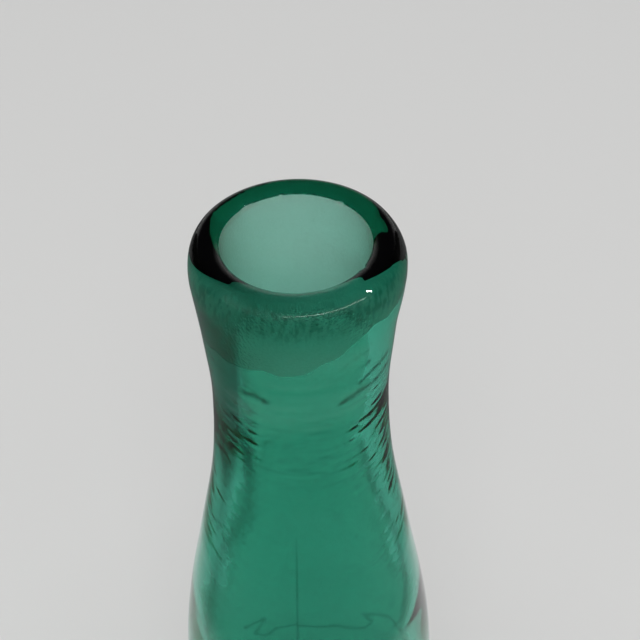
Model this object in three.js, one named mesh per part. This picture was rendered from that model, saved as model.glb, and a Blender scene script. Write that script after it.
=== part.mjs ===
// Hand-blown glass decanter bottle with a ground mouth, and its ball stopper set down beside it.
// Millimetres, +Z up. The origin is the centre of the bottle's flat ground base.
import * as THREE from "three";

// ---- driving dimensions ----
const HEIGHT = 360; // base to the crest of the lip
const BASE_RADIUS = 33; // flat ground foot
const HEEL_RADIUS = 9; // round between the foot and the wall
const BELLY = { radius: 46, z: 122 }; // widest part of the body
const WAIST = { radius: 24.6, z: 307 }; // narrowest part of the neck, outside
const LIP = { radius: 27.5, z: 349.5, crestRadius: 23.4 }; // widest part of the lip
const BASE_THICKNESS = 14;
const BODY_WALL = 6.5;

const BORE = { radius: 19.1, length: 34, taper: 0.062 }; // ground seat, radius lost per mm of depth
const BORE_EDGE = HEIGHT - 1.4; // the ground bore starts just under the crest
const THROAT = { radius: 17.2, z: 292 }; // the passage under the ground seat, before it widens

const PLUG = { length: 30, seatDepth: 2.4, bevel: 0.8 }; // the stopper's ground cone
const STEM_RADIUS = 12.5; // between the plug and the ball
const STEM_Z = 35;
const BALL_RADIUS = 26;
const STOPPER_X = -80; // where the stopper stands, beside the bottle
const STOPPER_Y = -80;

const BOTTLE_SIDES = 48; // facets around the axis
const STOPPER_SIDES = 40;

// ---- materials ----
const tealGlass = new THREE.MeshStandardMaterial({
  name: "teal_glass", color: 0x2f8a70, roughness: 0.05, metalness: 0, transparent: true, opacity: 0.6,
});
const stopperGlass = new THREE.MeshStandardMaterial({
  name: "stopper_glass", color: 0x3c9a80, roughness: 0.08, metalness: 0, transparent: true, opacity: 0.7,
});

// ---- outlines: points (radius, height) for a lathe ----
const at = (radius, z) => new THREE.Vector2(radius, z);

function spline(stations, steps) {
  return new THREE.SplineCurve(stations).getPoints(steps);
}

function arc(centreRadius, centreZ, radius, fromDegrees, toDegrees, steps) {
  const points = [];
  for (let i = 0; i <= steps; i++) {
    const angle = THREE.MathUtils.degToRad(fromDegrees + ((toDegrees - fromDegrees) * i) / steps);
    points.push(at(centreRadius + radius * Math.cos(angle), centreZ + radius * Math.sin(angle)));
  }
  return points;
}

// Joins stretches end to end, and drops a point that repeats the one before it.
function outline(...stretches) {
  const joined = [];
  for (const point of stretches.flat()) {
    const last = joined[joined.length - 1];
    if (!last || last.distanceTo(point) > 0.01) joined.push(point);
  }
  return joined;
}

function heel() {
  return arc(BASE_RADIUS, HEEL_RADIUS, HEEL_RADIUS, -90, 0, 5);
}

// Foot to lip: a long belly, sloping shoulders, a waisted neck and a flared lip.
function outerWall() {
  return spline([
    at(BASE_RADIUS + HEEL_RADIUS, HEEL_RADIUS),
    at(44.6, 58),
    at(BELLY.radius, BELLY.z),
    at(42.6, 181),
    at(38.6, 213),
    at(33.2, 242),
    at(26.7, 278),
    at(WAIST.radius, WAIST.z),
    at(25.7, 330),
    at(LIP.radius, LIP.z),
  ], 26);
}

// The fire-polished lip: over the crest, and down a short inner slope to the ground edge.
function lip() {
  const outside = new THREE.CubicBezierCurve(
    at(LIP.radius, LIP.z), at(LIP.radius + 0.3, LIP.z + 6),
    at(LIP.crestRadius + 3, HEIGHT), at(LIP.crestRadius, HEIGHT));
  const inside = new THREE.QuadraticBezierCurve(
    at(LIP.crestRadius, HEIGHT), at(BORE.radius + 1.1, HEIGHT), at(BORE.radius, BORE_EDGE));
  return outline(outside.getPoints(6), inside.getPoints(3));
}

function boreRadius(depth) {
  return BORE.radius - BORE.taper * depth;
}

// The passage, from the ground edge down to the inside of the base.
function innerWall() {
  const groundSeat = [at(boreRadius(0), BORE_EDGE), at(boreRadius(BORE.length), BORE_EDGE - BORE.length)];
  const insideBelly = BELLY.radius - BODY_WALL;
  const passage = spline([
    groundSeat[1],
    at(THROAT.radius, THROAT.z),
    at(20, 268),
    at(24.2, 249),
    at(28.6, 228),
    at(32.4, 210),
    at(35.6, 185),
    at(insideBelly, BELLY.z),
    at(38.2, 58),
    at(34, BASE_THICKNESS + 10),
  ], 20);
  const floorCorner = new THREE.QuadraticBezierCurve(
    at(34, BASE_THICKNESS + 10), at(31.5, BASE_THICKNESS), at(18, BASE_THICKNESS));
  return outline(groundSeat, passage, floorCorner.getPoints(4), [at(0, BASE_THICKNESS)]);
}

function bottleOutline() {
  return outline([at(0, 0)], heel(), outerWall(), lip(), innerWall());
}

// A ground cone that matches the bore's taper, a short stem and a solid ball.
function stopperOutline() {
  const topRadius = boreRadius(PLUG.seatDepth);
  const endRadius = topRadius - BORE.taper * PLUG.length;
  const ballZ = STEM_Z + Math.sqrt(BALL_RADIUS ** 2 - STEM_RADIUS ** 2);
  const stemAngle = THREE.MathUtils.radToDeg(Math.atan2(STEM_Z - ballZ, STEM_RADIUS));
  const shoulder = new THREE.QuadraticBezierCurve(
    at(topRadius, PLUG.length), at(topRadius - 1.5, STEM_Z - 1.5), at(STEM_RADIUS, STEM_Z));
  return outline(
    [at(0, 0), at(endRadius - PLUG.bevel, 0), at(endRadius, PLUG.bevel)],
    shoulder.getPoints(5),
    arc(0, ballZ, BALL_RADIUS, stemAngle, 90, 18),
  );
}

// ---- solids ----
// LatheGeometry turns its outline about Y, so the solid is stood up along Z.
function turned(name, points, sides, material) {
  const ends = [points[0], points[points.length - 1]];
  for (const end of ends) end.x = 0;
  const geometry = new THREE.LatheGeometry(points, sides);
  geometry.rotateX(Math.PI / 2);
  const mesh = new THREE.Mesh(geometry, material);
  mesh.name = name;
  return mesh;
}

const decanter = new THREE.Group();

const bottle = turned("bottle", bottleOutline(), BOTTLE_SIDES, tealGlass);
decanter.add(bottle);

const stopper = turned("stopper", stopperOutline(), STOPPER_SIDES, stopperGlass);
stopper.position.set(STOPPER_X, STOPPER_Y, 0);
decanter.add(stopper);

export default decanter;
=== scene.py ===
"""A hand-blown teal glass decanter bottle with a ground mouth, and its ball stopper standing beside it.

Sizes are in millimetres and angles in degrees unless a name says otherwise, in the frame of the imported
model: +Z up, with the origin at the centre of the bottle's base. MM turns a size into Blender's metres.
"""

import math

import bpy
import numpy as np
from mathutils import Matrix, Vector


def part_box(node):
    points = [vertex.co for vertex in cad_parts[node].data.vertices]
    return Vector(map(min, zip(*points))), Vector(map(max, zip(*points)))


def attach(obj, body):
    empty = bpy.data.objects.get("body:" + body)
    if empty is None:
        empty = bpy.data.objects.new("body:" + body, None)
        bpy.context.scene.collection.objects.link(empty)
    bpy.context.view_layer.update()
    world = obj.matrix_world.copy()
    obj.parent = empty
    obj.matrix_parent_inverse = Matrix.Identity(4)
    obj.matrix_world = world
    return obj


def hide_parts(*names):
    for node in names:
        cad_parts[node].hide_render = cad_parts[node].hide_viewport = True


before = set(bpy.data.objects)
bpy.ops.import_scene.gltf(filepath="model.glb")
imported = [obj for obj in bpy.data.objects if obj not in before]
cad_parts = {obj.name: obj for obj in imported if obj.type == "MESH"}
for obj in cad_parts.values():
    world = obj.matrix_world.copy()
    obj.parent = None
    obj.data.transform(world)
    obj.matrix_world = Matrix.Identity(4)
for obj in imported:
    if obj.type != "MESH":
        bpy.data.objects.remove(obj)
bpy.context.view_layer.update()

MM = 0.001

# ---- the bottle ----
_, bottle_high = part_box("bottle")
HEIGHT = bottle_high.z / MM
BASE_RADIUS = 33
HEEL_RADIUS = 9
BELLY = 46
NECK_RADIUS = 28  # a middle value, for turning angles on the neck into widths
LIP_RADIUS, LIP_Z = 27.5, HEIGHT - 10.5
CREST_RADIUS = 23.4
BASE_THICKNESS = 14
BORE_RADIUS, BORE_LENGTH, BORE_TAPER = 19.1, 34, 0.062
BORE_EDGE = HEIGHT - 1.4
OUTER_BODY = [(BASE_RADIUS + HEEL_RADIUS, HEEL_RADIUS), (44.6, 58), (46, 122), (42.6, 181), (38.6, 213)]
OUTER_NECK = [(33.2, 242), (26.7, 278), (24.6, 307), (25.7, 330), (LIP_RADIUS, LIP_Z)]
SEAT_END = (BORE_RADIUS - BORE_TAPER * BORE_LENGTH, BORE_EDGE - BORE_LENGTH)
INNER_WALL = [
    SEAT_END, (17.2, 292), (20, 268), (24.2, 249), (28.6, 228), (32.4, 210), (35.6, 185),
    (39.5, 122), (38.2, 58), (34, BASE_THICKNESS + 10),
]
FLOOR_CORNER = [INNER_WALL[-1], (31.5, BASE_THICKNESS), (18, BASE_THICKNESS)]

# ---- the stopper ----
stopper_low, stopper_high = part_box("stopper")
STOPPER_PLACE = (
    (stopper_low.x + stopper_high.x) / 2,
    (stopper_low.y + stopper_high.y) / 2,
    stopper_low.z,
)
PLUG_LENGTH = 30
PLUG_SEAT_DEPTH = 2.4
PLUG_BEVEL = 0.8
STEM_RADIUS, STEM_Z = 12.5, 35
BALL_RADIUS = 26

# ---- unevenness of hand-made glass: how far each mark stands proud ----
WAVE_COUNT = 7
OUTER_WAVE_SEED, INNER_WAVE_SEED, BALL_SEED = 3, 11, 23
OUTER_MARK_SEED, INNER_MARK_SEED, FINE_SEED, FLUTE_SEED, HAIR_SEED, LINE_SEED = 5, 13, 14, 17, 31, 41
HAIR_CELLS = (300, 1.5)  # hairs in a turn, and the height of one in mm
OUTER_WAVE, INNER_WAVE = 0.10, 0.30
OUTER_MARK, HAIR_MARK, INNER_MARK, FINE_MARK = 0.014, 0.02, 0.045, 0.05
INNER_FLUTE = 0.12
SEAMS = (-94, 86)
SEAM_WIDTH, SEAM_HEIGHT = 0.3, 0.07
LIP_SWELL, LIP_SWELL_AT, LIP_SWELL_WIDTH = 0.7, 29, 1.1
PASSAGE_DRIFT = (0.4, -0.3)
BALL_WAVE = 0.12
BLOWN_OUTSIDE = ((20, 60), (300, 330))  # stretches: heights to ease in over, and to ease out over
BLOWN_INSIDE = ((20, 60), (300, 318))
MARKS_OUTSIDE = ((225, 270), (334, 343))
MARKS_INSIDE = ((205, 262), (BORE_EDGE - 42, BORE_EDGE - 30))
LOW_MARKS, HIGH_MARKS = (205, 240), (265, 300)
LOW_SHARE, HIGH_SHARE = 0.3, 0.7
HAIR_RUN = ((347, 351), (355, 358))
SEAM_RUN = ((6, 20), (225, 262))
LIP_RUN = ((335, 346), (353, 359))
DRIFT_RUN = ((120, 215), (BORE_EDGE - 36, BORE_EDGE - 8))
CHIP_HEIGHT = 0.7
CHIPS = ((131, 2.4, 0.55), (54, 1.2, 0.6), (102, 0.6, 0.4), (-32, 0.8, 0.4))  # angle, width, depth

# ---- marks of painted shade on the wall: darker colour standing in for dark seen through the thick glass ----
# Painted shade down the left side of the neck.
FLANK_SHADE = 0.8
FLANK_START, FLANK_END = (150, 190), (226, 231)  # degrees around the axis
FLANK_LEAN, FLANK_LEAN_Z = 0.26, 310  # degrees that its end leans per mm of height, from this height
FLANK_RUN = ((272, 300), (346, 354))
# Painted shade along the front mould seam.
SEAM_SHADE = 0.4
SEAM_SHADE_RUN = ((200, 215), (262, 277))
# Painted shade in a band at the front, under the lip, darker in its hair marks.
BAND_SHADE, BAND_HAIR_SHADE = 0.3, 0.45
BAND_START_OUTSIDE = (348, 354)
BAND_START_INSIDE = (BORE_EDGE - 0.3, BORE_EDGE + 0.3)
BAND_HAIR_TOP = (357, 359)
RAGGED = 0.35
# Traced: a projection script worked these stations out from points picked on the photograph.
SHADE_LINES = (  # width in mm, depth of painted shade, and stations of (degrees, height)
    (2.6, 0.6, ((-126, 301), (-124, 290), (-126, 278), (-133, 268), (-140, 259), (-146, 246), (-147, 214))),
    (3.2, 0.6, ((-150, 297), (-147, 284), (-147, 272), (-149, 262))),
    (1.7, 0.6, (
        (-49, 303), (-44, 292), (-40, 284), (-29, 266), (-25, 254), (-25, 234), (-29, 228), (-35, 222))),
    (0.8, 1, ((-52, 329), (-43, 330.6), (-27, 331.2))),
    (1, 1, ((-64, 324), (-52, 325.6), (-42, 325.2), (-24, 326))),
    (1.1, 1, ((-123, 327), (-116, 327.6), (-109, 326))),
    (0.45, 0.5, (
        (-122, 231), (-111, 239), (-116, 230.6), (-109.5, 231.8), (-105, 236), (-95, 238.6), (-75, 236.7),
        (-59, 230.7), (-55, 231.7), (-59.6, 237.2), (-49.6, 232.3), (-44, 228), (-37, 216))),
)

# ---- glass ----
IOR = 1.51
TINT = (0.2, 0.8, 0.7, 1)
BOTTLE_DENSITY, BOTTLE_SURFACE = 110, (0.385, 0.73, 0.635, 1)
BOTTLE_FROST = (0.72, 0.82, 0.76, 1)
# Painted shade: the colour that the shade attribute multiplies the surface colour by.
PAINTED_SHADE_COLOUR = (0.005, 0.1, 0.08, 1)
STOPPER_DENSITY, STOPPER_SURFACE = 90, (0.6, 0.86, 0.8, 1)
STOPPER_FROST = (0.6, 0.86, 0.79, 1)
BOTTLE_FROST_CLEAR, STOPPER_FROST_CLEAR = 0.78, 0.85  # how much light a frosted face lets through
SPECULAR_TINT = (0.35, 0.35, 0.35, 1)

# ---- outlines: arrays of (radius, height) ----
SEAT_SPACING, NECK_SPACING, BODY_SPACING, FLAT_SPACING = 0.45, 0.5, 2.2, 4
BOTTLE_SIDES, STOPPER_SIDES = 360, 192  # facets around the axis


def spline(stations, spacing):
    """A Catmull-Rom curve through the stations, with a point about every `spacing` mm."""
    p = np.array([stations[0], *stations, stations[-1]], float)
    p[0] = 2 * p[1] - p[2]
    p[-1] = 2 * p[-2] - p[-3]
    spacings = spacing if isinstance(spacing, list) else [spacing] * (len(stations) - 1)
    points = []
    for a, b, c, d, gap in zip(p, p[1:], p[2:], p[3:], spacings):
        steps = max(2, round(np.linalg.norm(c - b) / gap))
        for t in np.arange(steps) / steps:
            bend = (2 * a - 5 * b + 4 * c - d) * t**2 + (3 * b - a - 3 * c + d) * t**3
            points.append(0.5 * (2 * b + (c - a) * t + bend))
    points.append(p[-2])
    return np.array(points)


def bezier(controls, steps):
    """A Bezier curve of any degree."""
    degree = len(controls) - 1
    t = np.linspace(0, 1, steps + 1)[:, None]
    weights = [math.comb(degree, k) * t**k * (1 - t) ** (degree - k) for k in range(degree + 1)]
    return sum(w * np.array(c, float) for w, c in zip(weights, controls))


def arc(centre, radius, start, end, steps):
    angle = np.radians(np.linspace(start, end, steps + 1))
    return np.stack([centre[0] + radius * np.cos(angle), centre[1] + radius * np.sin(angle)], 1)


def line(start, end, spacing):
    steps = max(1, round(math.dist(start, end) / spacing))
    t = np.linspace(0, 1, steps + 1)[:, None]
    return np.array(start, float) * (1 - t) + np.array(end, float) * t


def join(*stretches):
    """One outline from stretches laid end to end, without the doubled points."""
    points = np.concatenate(stretches)
    step = np.linalg.norm(np.diff(points, axis=0), axis=1)
    return points[np.concatenate([[True], step > 0.01])]


def bottle_outline():
    lip_outside = bezier([
        (LIP_RADIUS, LIP_Z), (LIP_RADIUS + 0.3, LIP_Z + 6),
        (CREST_RADIUS + 3, HEIGHT), (CREST_RADIUS, HEIGHT)], 30)
    lip_inside = bezier([
        (CREST_RADIUS, HEIGHT), (BORE_RADIUS + 1.1, HEIGHT), (BORE_RADIUS, BORE_EDGE)], 14)
    outer_spacings = [BODY_SPACING] * (len(OUTER_BODY) - 1) + [NECK_SPACING] * len(OUTER_NECK)
    inner_spacings = [NECK_SPACING] * 5 + [BODY_SPACING] * (len(INNER_WALL) - 6)
    return join(
        line((0, 0), (BASE_RADIUS, 0), FLAT_SPACING),
        arc((BASE_RADIUS, HEEL_RADIUS), HEEL_RADIUS, -90, 0, 14),
        spline(OUTER_BODY + OUTER_NECK, outer_spacings),
        lip_outside,
        lip_inside,
        line((BORE_RADIUS, BORE_EDGE), SEAT_END, SEAT_SPACING),
        spline(INNER_WALL, inner_spacings),
        bezier(FLOOR_CORNER, 16),
        line(FLOOR_CORNER[-1], (0, BASE_THICKNESS), FLAT_SPACING),
    )


def stopper_outline():
    top = BORE_RADIUS - BORE_TAPER * PLUG_SEAT_DEPTH
    end = top - BORE_TAPER * PLUG_LENGTH
    ball_z = STEM_Z + math.sqrt(BALL_RADIUS**2 - STEM_RADIUS**2)
    stem_angle = math.degrees(math.atan2(STEM_Z - ball_z, STEM_RADIUS))
    return join(
        line((0, 0), (end - PLUG_BEVEL, 0), FLAT_SPACING),
        line((end - PLUG_BEVEL, 0), (end, PLUG_BEVEL), 0.3),
        line((end, PLUG_BEVEL), (top, PLUG_LENGTH), SEAT_SPACING),
        bezier([(top, PLUG_LENGTH), (top - 1.5, STEM_Z - 1.5), (STEM_RADIUS, STEM_Z)], 18),
        arc((0, ball_z), BALL_RADIUS, stem_angle, 90, 72),
    )


# ---- patterns over a wall, from arrays of z in mm and phi in radians ----
def smooth(x, low, high):
    """0 below low, 1 above high, and smooth between."""
    t = np.clip((x - low) / (high - low), 0, 1)
    return t * t * (3 - 2 * t)


def waves(seed, phi, z, length, turns):
    """Slow seeded waves, about 1 high: `length` mm along the axis, up to `turns` around it."""
    draw = np.random.default_rng(seed)
    total = np.zeros(np.broadcast(phi, z).shape)
    for _ in range(WAVE_COUNT):
        along = 2 * np.pi / (length * draw.uniform(0.6, 1.7))
        around = draw.integers(0, turns + 1)
        total += np.cos(along * z + around * phi + draw.uniform(0, 2 * np.pi))
    return total / math.sqrt(WAVE_COUNT)


def streaks(seed, phi, z, around, along):
    """Seeded streaks from -1 to 1, in cells: `around` of them in a turn, each `along` mm high."""
    rows = math.ceil(HEIGHT / along) + 2
    values = np.random.default_rng(seed).uniform(-1, 1, (rows, around))
    column = np.mod(phi / (2 * np.pi), 1) * around
    row = np.clip(z / along, 0, rows - 2)
    left, low = np.floor(column).astype(int), np.floor(row).astype(int)
    across, up = smooth(column - left, 0, 1), smooth(row - low, 0, 1)
    left, right = left % around, (left + 1) % around
    lower = values[low, left] * (1 - across) + values[low, right] * across
    upper = values[low + 1, left] * (1 - across) + values[low + 1, right] * across
    return lower * (1 - up) + upper * up


def lobe(phi, degrees, width):
    """1 at one angle, falling to 0 over about `width` radians."""
    away = np.mod(phi - math.radians(degrees) + np.pi, 2 * np.pi) - np.pi
    return np.exp(-((away / width) ** 2))


def stretch(z, ease_in, ease_out):
    """1 along a stretch of the wall, and 0 below and above it."""
    return smooth(z, *ease_in) * (1 - smooth(z, *ease_out))


# ---- the bottle's unevenness ----
OUTER, INNER = 0, 1


def bottle_bumps(side, z, phi):
    """How far the bottle's wall stands proud of its outline, in mm."""
    if side == OUTER:
        seam = sum(lobe(phi, angle, SEAM_WIDTH / BELLY) for angle in SEAMS)
        swell = lobe(phi, LIP_SWELL_AT, LIP_SWELL_WIDTH)
        return (
            OUTER_WAVE * stretch(z, *BLOWN_OUTSIDE) * waves(OUTER_WAVE_SEED, phi, z, 70, 3)
            + OUTER_MARK * stretch(z, *MARKS_OUTSIDE) * streaks(OUTER_MARK_SEED, phi, z, 18, 2.1)
            + HAIR_MARK * stretch(z, *HAIR_RUN) * streaks(HAIR_SEED, phi, z, *HAIR_CELLS)
            + SEAM_HEIGHT * stretch(z, *SEAM_RUN) * seam
            + LIP_SWELL * stretch(z, *LIP_RUN) * swell
        )
    marks = stretch(z, *MARKS_INSIDE)
    shares = LOW_SHARE * smooth(z, *LOW_MARKS) + HIGH_SHARE * smooth(z, *HIGH_MARKS)
    below_seat = 1 - smooth(z, *MARKS_INSIDE[1])
    chips = sum(
        depth * lobe(phi, angle, width / BORE_RADIUS) * np.exp(-(((z - BORE_EDGE) / CHIP_HEIGHT) ** 2))
        for angle, width, depth in CHIPS
    )
    return (
        INNER_WAVE * stretch(z, *BLOWN_INSIDE) * waves(INNER_WAVE_SEED, phi, z, 55, 3)
        + INNER_FLUTE * marks * streaks(FLUTE_SEED, phi, z, 26, 34)
        + INNER_MARK * shares * below_seat * streaks(INNER_MARK_SEED, phi, z, 20, 1.5)
        + FINE_MARK * marks * streaks(FINE_SEED, phi, z, 30, 1.5)
        - chips
    )


def bottle_drift(side, z):
    """How far the wall's centre is off the axis: the passage leans in the neck, as it was blown."""
    amount = stretch(z, *DRIFT_RUN) * side
    return PASSAGE_DRIFT[0] * amount, PASSAGE_DRIFT[1] * amount


def seat_depth(phi):
    """How deep the grinding reached around the mouth: least on the right, most at the back."""
    depth = 25.7 - 6.5 * np.cos(phi) + 6 * np.sin(phi) - 4.2 * np.cos(2 * phi)
    return depth + 0.7 * np.cos(5 * phi + 1) + 0.5 * np.cos(9 * phi + 2.5) + 0.3 * np.cos(17 * phi)


def bottle_ground(side, z, phi):
    """1 on the ground seat inside the mouth and on its chipped edge, 0 on polished glass."""
    depth = BORE_EDGE - z
    rim = 0.1 + 0.25 * sum(lobe(phi, angle, width / BORE_RADIUS) for angle, width, _ in CHIPS)
    seat = smooth(depth, -rim, 0.1 - rim) * (1 - smooth(depth - seat_depth(phi), -0.4, 0.4))
    return seat * side


def line_distance(phi, z, stations):
    """Distance in mm, over the neck's wall, from a line through stations of (degrees, height)."""
    x = (np.mod(phi + np.pi / 2 + np.pi, 2 * np.pi) - np.pi) * NECK_RADIUS
    nearest = np.full(np.broadcast(phi, z).shape, np.inf)
    for (start_angle, start_z), (end_angle, end_z) in zip(stations, stations[1:]):
        start_x, end_x = (math.radians(angle + 90) * NECK_RADIUS for angle in (start_angle, end_angle))
        dx, dz = end_x - start_x, end_z - start_z
        t = np.clip(((x - start_x) * dx + (z - start_z) * dz) / (dx * dx + dz * dz), 0, 1)
        nearest = np.minimum(nearest, np.hypot(x - start_x - t * dx, z - start_z - t * dz))
    return nearest


def bottle_shade_lines(phi, z):
    """Painted shade along the front seam, and fine lines of painted shade with ragged edges."""
    ragged = RAGGED * streaks(LINE_SEED, phi, z, 240, 1.1)
    total = SEAM_SHADE * lobe(phi, SEAMS[0], SEAM_WIDTH / NECK_RADIUS) * stretch(z, *SEAM_SHADE_RUN)
    for width, depth, stations in SHADE_LINES:
        away = line_distance(phi, z, stations) / width + ragged
        total = total + depth * np.exp(-(away**2))
    return total


def bottle_painted_shade(side, z, phi):
    """How much painted shade darkens the wall: a band with hair marks under the lip, one side, and fine
    lines.
    """
    hair = smooth(streaks(HAIR_SEED, phi, z, *HAIR_CELLS), -0.1, 0.4) * (1 - smooth(z, *BAND_HAIR_TOP))
    front = smooth(-np.sin(phi), 0.1, 0.6)
    start = BAND_START_OUTSIDE if side == OUTER else BAND_START_INSIDE
    band = front * smooth(z, *start) * (BAND_SHADE + BAND_HAIR_SHADE * hair)
    if side == INNER:
        return band
    turn = np.degrees(np.mod(phi, 2 * np.pi))
    leaning = turn - FLANK_LEAN * (z - FLANK_LEAN_Z)
    around = smooth(turn, *FLANK_START) * (1 - smooth(leaning, *FLANK_END))
    flank = FLANK_SHADE * around * stretch(z, *FLANK_RUN)
    return np.clip(band + flank + bottle_shade_lines(phi, z), 0, 1)


# ---- the stopper's unevenness ----
def stopper_bumps(side, z, phi):
    return BALL_WAVE * smooth(z, 36, 48) * waves(BALL_SEED, phi, z, 30, 3) * (1 - smooth(z, 76, 82))


def stopper_drift(side, z):
    return np.zeros_like(z), np.zeros_like(z)


# The stopper has no painted shade.
def stopper_painted_shade(side, z, phi):
    return np.zeros(np.broadcast(phi, z).shape)


def stopper_ground(side, z, phi):
    edge = PLUG_LENGTH - 0.6 + 0.5 * np.cos(3 * phi) + 0.3 * np.cos(7 * phi + 1)
    return smooth(z, 0.2, 0.7) * (1 - smooth(z, edge - 0.3, edge + 0.3))


# ---- turned meshes ----
def turned_mesh(name, rings, ends):
    """A closed mesh from rings of points, lowest outside first, and the two points on the axis."""
    last, count = rings.shape[0] - 1, rings.shape[1]
    j = np.arange(count)
    k = (j + 1) % count
    row = np.arange(last)[:, None] * count
    faces = np.stack([row + j, row + k, row + count + k, row + count + j], -1).reshape(-1, 4).tolist()
    first_end = rings.shape[0] * count
    faces += [(first_end, b, a) for a, b in zip(j.tolist(), k.tolist())]
    faces += [(last * count + a, last * count + b, first_end + 1) for a, b in zip(j.tolist(), k.tolist())]
    mesh = bpy.data.meshes.new(name)
    mesh.from_pydata(np.concatenate([rings.reshape(-1, 3), ends]).tolist(), [], faces)
    mesh.shade_smooth()
    return mesh


def revolve(name, outline, angles, bumps, drift, masks, place):
    """A turned piece with its unevenness put in, and an attribute for its material from each mask."""
    phi = np.radians(angles)[None, :]
    radius, height = outline[1:-1, :1], outline[1:-1, 1:]
    along = np.gradient(outline, axis=0)[1:-1]
    along /= np.linalg.norm(along, axis=1, keepdims=True)
    top = int(np.argmax(height))
    rings = np.empty((len(radius), len(angles), 3))
    values = {mask_name: np.empty((len(radius), len(angles))) for mask_name in masks}
    for side, part in ((OUTER, slice(0, top)), (INNER, slice(top, None))):
        z = height[part]
        proud = bumps(side, z, phi)
        r = radius[part] + proud * along[part, 1:]
        off_x, off_y = drift(side, z)
        rings[part, :, 0] = r * np.cos(phi) + off_x
        rings[part, :, 1] = r * np.sin(phi) + off_y
        rings[part, :, 2] = z - proud * along[part, :1]
        for mask_name, mask in masks.items():
            values[mask_name][part] = mask(side, z, phi)
    ends = np.array([[0, 0, outline[0, 1]], [0, 0, outline[-1, 1]]])
    mesh = turned_mesh(name, rings * MM + place, ends * MM + place)
    for mask_name in masks:
        attribute = mesh.attributes.new(mask_name, "FLOAT", "POINT")
        flat = np.append(values[mask_name].ravel(), [0, 0])
        attribute.data.foreach_set("value", flat.astype(np.float32))
    piece = bpy.data.objects.new(name, mesh)
    bpy.context.scene.collection.objects.link(piece)
    return piece


def ring_angles(count, seams=()):
    """Even angles around the axis, with more of them at each mould seam."""
    even = np.arange(count) * 360 / count
    extra = [seam + SEAM_WIDTH * step for seam in seams for step in (-1.5, -1, -0.5, 0, 0.5, 1, 1.5)]
    return np.unique(np.round(np.mod(np.concatenate([even, extra]), 360), 4))


# ---- materials ----
GRIT_SCALE, GRIT_DETAIL, GRIT_BUMP = 1400, 3, 0.0001  # the bump in metres
GRIT_RANGE, FROST_ROUGHNESS = (0.35, 0.65), (0.7, 1)
MIX_FACTOR, MIX_A, MIX_B, MIX_RESULT = 0, 6, 7, 2  # the colour sockets of a Mix node


def glass(name, density, surface, frost_colour, frost_clear):
    """Clear coloured glass, frosted where `ground` is 1, and darkened by painted shade where its shade
    attribute is 1.
    """
    material = bpy.data.materials.new(name)
    material.use_nodes = True
    tree = material.node_tree
    new, link = tree.nodes.new, tree.links.new
    shader = tree.nodes["Principled BSDF"]
    shader.inputs["IOR"].default_value = IOR
    shader.inputs["Specular Tint"].default_value = SPECULAR_TINT
    volume = new("ShaderNodeVolumeAbsorption")
    volume.inputs["Color"].default_value = TINT
    volume.inputs["Density"].default_value = density
    link(volume.outputs["Volume"], tree.nodes["Material Output"].inputs["Volume"])

    ground = new("ShaderNodeAttribute")
    ground.attribute_name = "ground"
    colour = new("ShaderNodeValToRGB")
    colour.color_ramp.elements[0].color = surface
    colour.color_ramp.elements[1].color = frost_colour
    link(ground.outputs["Fac"], colour.inputs["Fac"])
    # Painted shade: the shade attribute darkens the base colour towards the shade colour.
    painted_shade = new("ShaderNodeAttribute")
    painted_shade.attribute_name = "painted_shade"
    paint_shade = new("ShaderNodeMix")
    paint_shade.data_type = "RGBA"
    paint_shade.blend_type = "MULTIPLY"
    paint_shade.inputs[MIX_B].default_value = PAINTED_SHADE_COLOUR
    link(painted_shade.outputs["Fac"], paint_shade.inputs[MIX_FACTOR])
    link(colour.outputs["Color"], paint_shade.inputs[MIX_A])
    link(paint_shade.outputs[MIX_RESULT], shader.inputs["Base Color"])
    clear = new("ShaderNodeMapRange")
    clear.inputs["To Min"].default_value = 1
    clear.inputs["To Max"].default_value = frost_clear
    link(ground.outputs["Fac"], clear.inputs["Value"])
    link(clear.outputs["Result"], shader.inputs["Transmission Weight"])

    coord = new("ShaderNodeTexCoord")
    grit = new("ShaderNodeTexNoise")
    grit.inputs["Scale"].default_value = GRIT_SCALE
    grit.inputs["Detail"].default_value = GRIT_DETAIL
    link(coord.outputs["Object"], grit.inputs["Vector"])
    frost = new("ShaderNodeMapRange")
    frost.inputs["From Min"].default_value = GRIT_RANGE[0]
    frost.inputs["From Max"].default_value = GRIT_RANGE[1]
    frost.inputs["To Min"].default_value = FROST_ROUGHNESS[0]
    frost.inputs["To Max"].default_value = FROST_ROUGHNESS[1]
    link(grit.outputs["Fac"], frost.inputs["Value"])
    rough = new("ShaderNodeMath")
    rough.operation = "MULTIPLY"
    link(frost.outputs["Result"], rough.inputs[0])
    link(ground.outputs["Fac"], rough.inputs[1])
    link(rough.outputs["Value"], shader.inputs["Roughness"])
    bump = new("ShaderNodeBump")
    bump.inputs["Distance"].default_value = GRIT_BUMP
    link(ground.outputs["Fac"], bump.inputs["Strength"])
    link(grit.outputs["Fac"], bump.inputs["Height"])
    link(bump.outputs["Normal"], shader.inputs["Normal"])
    return material


def place_piece(piece, node, material):
    piece.data.materials.append(material)
    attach(piece, node)
    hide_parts(node)


bottle_glass = glass("bottle_glass", BOTTLE_DENSITY, BOTTLE_SURFACE, BOTTLE_FROST, BOTTLE_FROST_CLEAR)
stopper_glass = glass(
    "stopper_glass", STOPPER_DENSITY, STOPPER_SURFACE, STOPPER_FROST, STOPPER_FROST_CLEAR)
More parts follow.
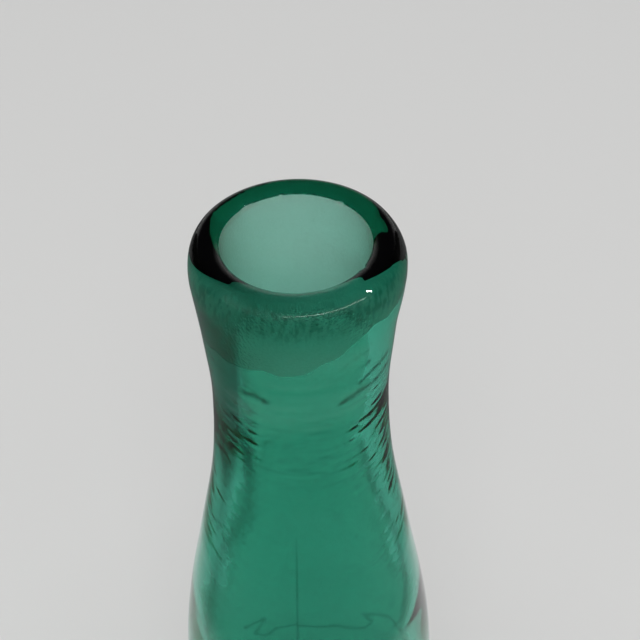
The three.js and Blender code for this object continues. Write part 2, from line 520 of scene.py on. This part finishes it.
# Each piece's masks: its frosted seat, and its painted shade.
bottle_masks = {"ground": bottle_ground, "painted_shade": bottle_painted_shade}
stopper_masks = {"ground": stopper_ground, "painted_shade": stopper_painted_shade}
bottle_piece = revolve(
    "bottle_glass", bottle_outline(), ring_angles(BOTTLE_SIDES, SEAMS),
    bottle_bumps, bottle_drift, bottle_masks, (0, 0, 0))
place_piece(bottle_piece, "bottle", bottle_glass)
stopper_piece = revolve(
    "stopper_glass", stopper_outline(), ring_angles(STOPPER_SIDES),
    stopper_bumps, stopper_drift, stopper_masks, STOPPER_PLACE)
place_piece(stopper_piece, "stopper", stopper_glass)

# ---- stage: a pale floor that runs into a pale surround, and dark cards seen only as reflections ----
FLOOR_COLOUR = (0.72, 0.72, 0.71, 1)
FLAG_GREY = (0.03, 0.03, 0.03, 1)
FLAG_HEIGHT, FLAG_FRONT, FLAG_BACK = 1.4, -0.4, 2.2  # metres
FLAG_X = 1.5
RING_REACH = 3.5
RING_STOPS = ((0.22, 0.72), (0.27, 0.14), (2.6, 0.14), (3.4, 0.72))  # distance in metres, grey
RING_Z = 0.5
FLOOR_REACH = 30  # metres
FLOOR_GAP = 0.3  # below the base, so that the two faces never share a plane


def stage_plane(name, low, high, z):
    """A level rectangle on the stage, in metres."""
    mesh = bpy.data.meshes.new(name)
    corners = [(low[0], low[1], z), (high[0], low[1], z), (high[0], high[1], z), (low[0], high[1], z)]
    mesh.from_pydata(corners, [], [(0, 1, 2, 3)])
    plane = bpy.data.objects.new(name, mesh)
    bpy.context.scene.collection.objects.link(plane)
    material = bpy.data.materials.new(name)
    material.use_nodes = True
    shader = material.node_tree.nodes["Principled BSDF"]
    shader.inputs["Base Color"].default_value = FLOOR_COLOUR
    shader.inputs["Roughness"].default_value = 0.8
    mesh.materials.append(material)
    return plane


def only_reflected(card):
    """Hides a card from everything but reflections."""
    card.visible_camera = False
    card.visible_shadow = False
    card.visible_diffuse = False
    card.visible_transmission = False


def flag(name, x):
    """A dark upright card at one side, seen only as a reflection."""
    card = stage_plane(name, (-FLAG_HEIGHT, FLAG_FRONT), (0, FLAG_BACK), 0)
    card.rotation_euler = (0, math.pi / 2, 0)
    card.location = (x, 0, 0)
    only_reflected(card)
    shader = card.data.materials[0].node_tree.nodes["Principled BSDF"]
    shader.inputs["Base Color"].default_value = FLAG_GREY


def ring_card(name, reach, stops):
    """A card lying around the bottle, seen only as a reflection, with its greys by distance in metres."""
    card = stage_plane(name, (-reach, -reach), (reach, reach), RING_Z * MM)
    only_reflected(card)
    tree = card.data.materials[0].node_tree
    coord = tree.nodes.new("ShaderNodeTexCoord")
    level = tree.nodes.new("ShaderNodeVectorMath")
    level.operation = "MULTIPLY"
    level.inputs[1].default_value = (1 / reach, 1 / reach, 0)
    distance = tree.nodes.new("ShaderNodeVectorMath")
    distance.operation = "LENGTH"
    ramp = tree.nodes.new("ShaderNodeValToRGB")
    elements = ramp.color_ramp.elements
    for metres, grey in stops:
        stop = elements.new(metres / reach)
        stop.color = (grey, grey, grey, 1)
    elements.remove(elements[0])
    elements.remove(elements[-1])
    tree.links.new(coord.outputs["Object"], level.inputs[0])
    tree.links.new(level.outputs["Vector"], distance.inputs[0])
    tree.links.new(distance.outputs["Value"], ramp.inputs["Fac"])
    tree.links.new(ramp.outputs["Color"], tree.nodes["Principled BSDF"].inputs["Base Color"])


stage_plane("floor", (-FLOOR_REACH, -FLOOR_REACH), (FLOOR_REACH, FLOOR_REACH), -FLOOR_GAP * MM)
ring_card("ring_card", RING_REACH, RING_STOPS)
for side_name, x in (("left_flag", -FLAG_X), ("right_flag", FLAG_X)):
    flag(side_name, x)


# ---- light: lamp places and sizes in metres, powers in watts, and the sky's in watts per square metre ----
HORIZON_COLOUR = (0.56, 0.56, 0.552, 1)
OVERHEAD_COLOUR = (0.04, 0.04, 0.045, 1)
SKY_SPREAD = 100
MOUTH = (0, 0, 0.35)


def surround():
    """A plain surround, pale at the horizon and dim overhead."""
    world = bpy.data.worlds.new("studio")
    bpy.context.scene.world = world
    world.use_nodes = True
    tree = world.node_tree
    coord = tree.nodes.new("ShaderNodeTexCoord")
    split = tree.nodes.new("ShaderNodeSeparateXYZ")
    ramp = tree.nodes.new("ShaderNodeValToRGB")
    ramp.color_ramp.elements[0].position = 0.2
    ramp.color_ramp.elements[0].color = HORIZON_COLOUR
    ramp.color_ramp.elements[1].position = 0.5
    ramp.color_ramp.elements[1].color = OVERHEAD_COLOUR
    tree.links.new(coord.outputs["Generated"], split.inputs["Vector"])
    tree.links.new(split.outputs["Z"], ramp.inputs["Fac"])
    tree.links.new(ramp.outputs["Color"], tree.nodes["Background"].inputs["Color"])


def lamp(name, kind, place, aim, power, mirrored=True):
    """A lamp at a place in metres: either only its image in the glass, or only the light it gives."""
    light = bpy.data.lights.new(name, kind)
    light.energy = power
    lamp_object = bpy.data.objects.new(name, light)
    lamp_object.location = place
    lamp_object.rotation_mode = "QUATERNION"
    lamp_object.rotation_quaternion = (Vector(aim) - Vector(place)).to_track_quat("-Z", "Y")
    lamp_object.visible_camera = False
    lamp_object.visible_diffuse = not mirrored
    lamp_object.visible_glossy = mirrored
    lamp_object.visible_transmission = mirrored
    bpy.context.scene.collection.objects.link(lamp_object)
    return light


def panel(name, place, aim, size, power, mirrored=True):
    light = lamp(name, "AREA", place, aim, power, mirrored)
    light.shape = "RECTANGLE"
    light.size, light.size_y = size


surround()
panel("window", (1.1, -0.25, 0.75), MOUTH, (0.05, 0.4), 8)
panel("strip", (0.68, -1.34, 0.63), MOUTH, (2.8, 0.08), 7)
panel("front", (0, -1.2, 1.35), MOUTH, (0.8, 0.8), 6, mirrored=False)
sky = lamp("sky", "SUN", (0, -0.3, 2), (0, 0, 0), 2.2, mirrored=False)
sky.angle = math.radians(SKY_SPREAD)

# ---- camera: above the bottle and in front of it, looking down at the mouth ----
PITCH, ROLL = math.radians(43.4), math.radians(-0.86)
SENSOR_WIDTH, LENS = 36, 65.4
AIM_Z = 357.8
CAMERA_BACK, CAMERA_DOWN, CAMERA_RIGHT = 290, 18.95, 5.7  # from the point aimed at, along the view
forward = Vector((0, math.cos(PITCH), -math.sin(PITCH)))
up = Vector((0, math.sin(PITCH), math.cos(PITCH)))
right = forward.cross(up)
camera = bpy.data.objects.new("camera", bpy.data.cameras.new("camera"))
camera.data.sensor_width = SENSOR_WIDTH
camera.data.lens = LENS
camera.data.clip_start = 0.01
camera.location = MM * (
    Vector((0, 0, AIM_Z)) - CAMERA_BACK * forward - CAMERA_DOWN * up + CAMERA_RIGHT * right)
camera.rotation_mode = "QUATERNION"
level_view = Matrix((right, up, -forward)).transposed()
camera.rotation_quaternion = (level_view @ Matrix.Rotation(ROLL, 3, "Z")).to_quaternion()
bpy.context.scene.collection.objects.link(camera)
bpy.context.scene.camera = camera

# ---- colour and light paths: thick glass needs many ----
GLASS_BOUNCES, GLOSSY_BOUNCES = 40, 20
scene = bpy.context.scene
scene.view_settings.view_transform = "Standard"
scene.cycles.max_bounces = GLASS_BOUNCES
scene.cycles.transmission_bounces = GLASS_BOUNCES
scene.cycles.glossy_bounces = GLOSSY_BOUNCES
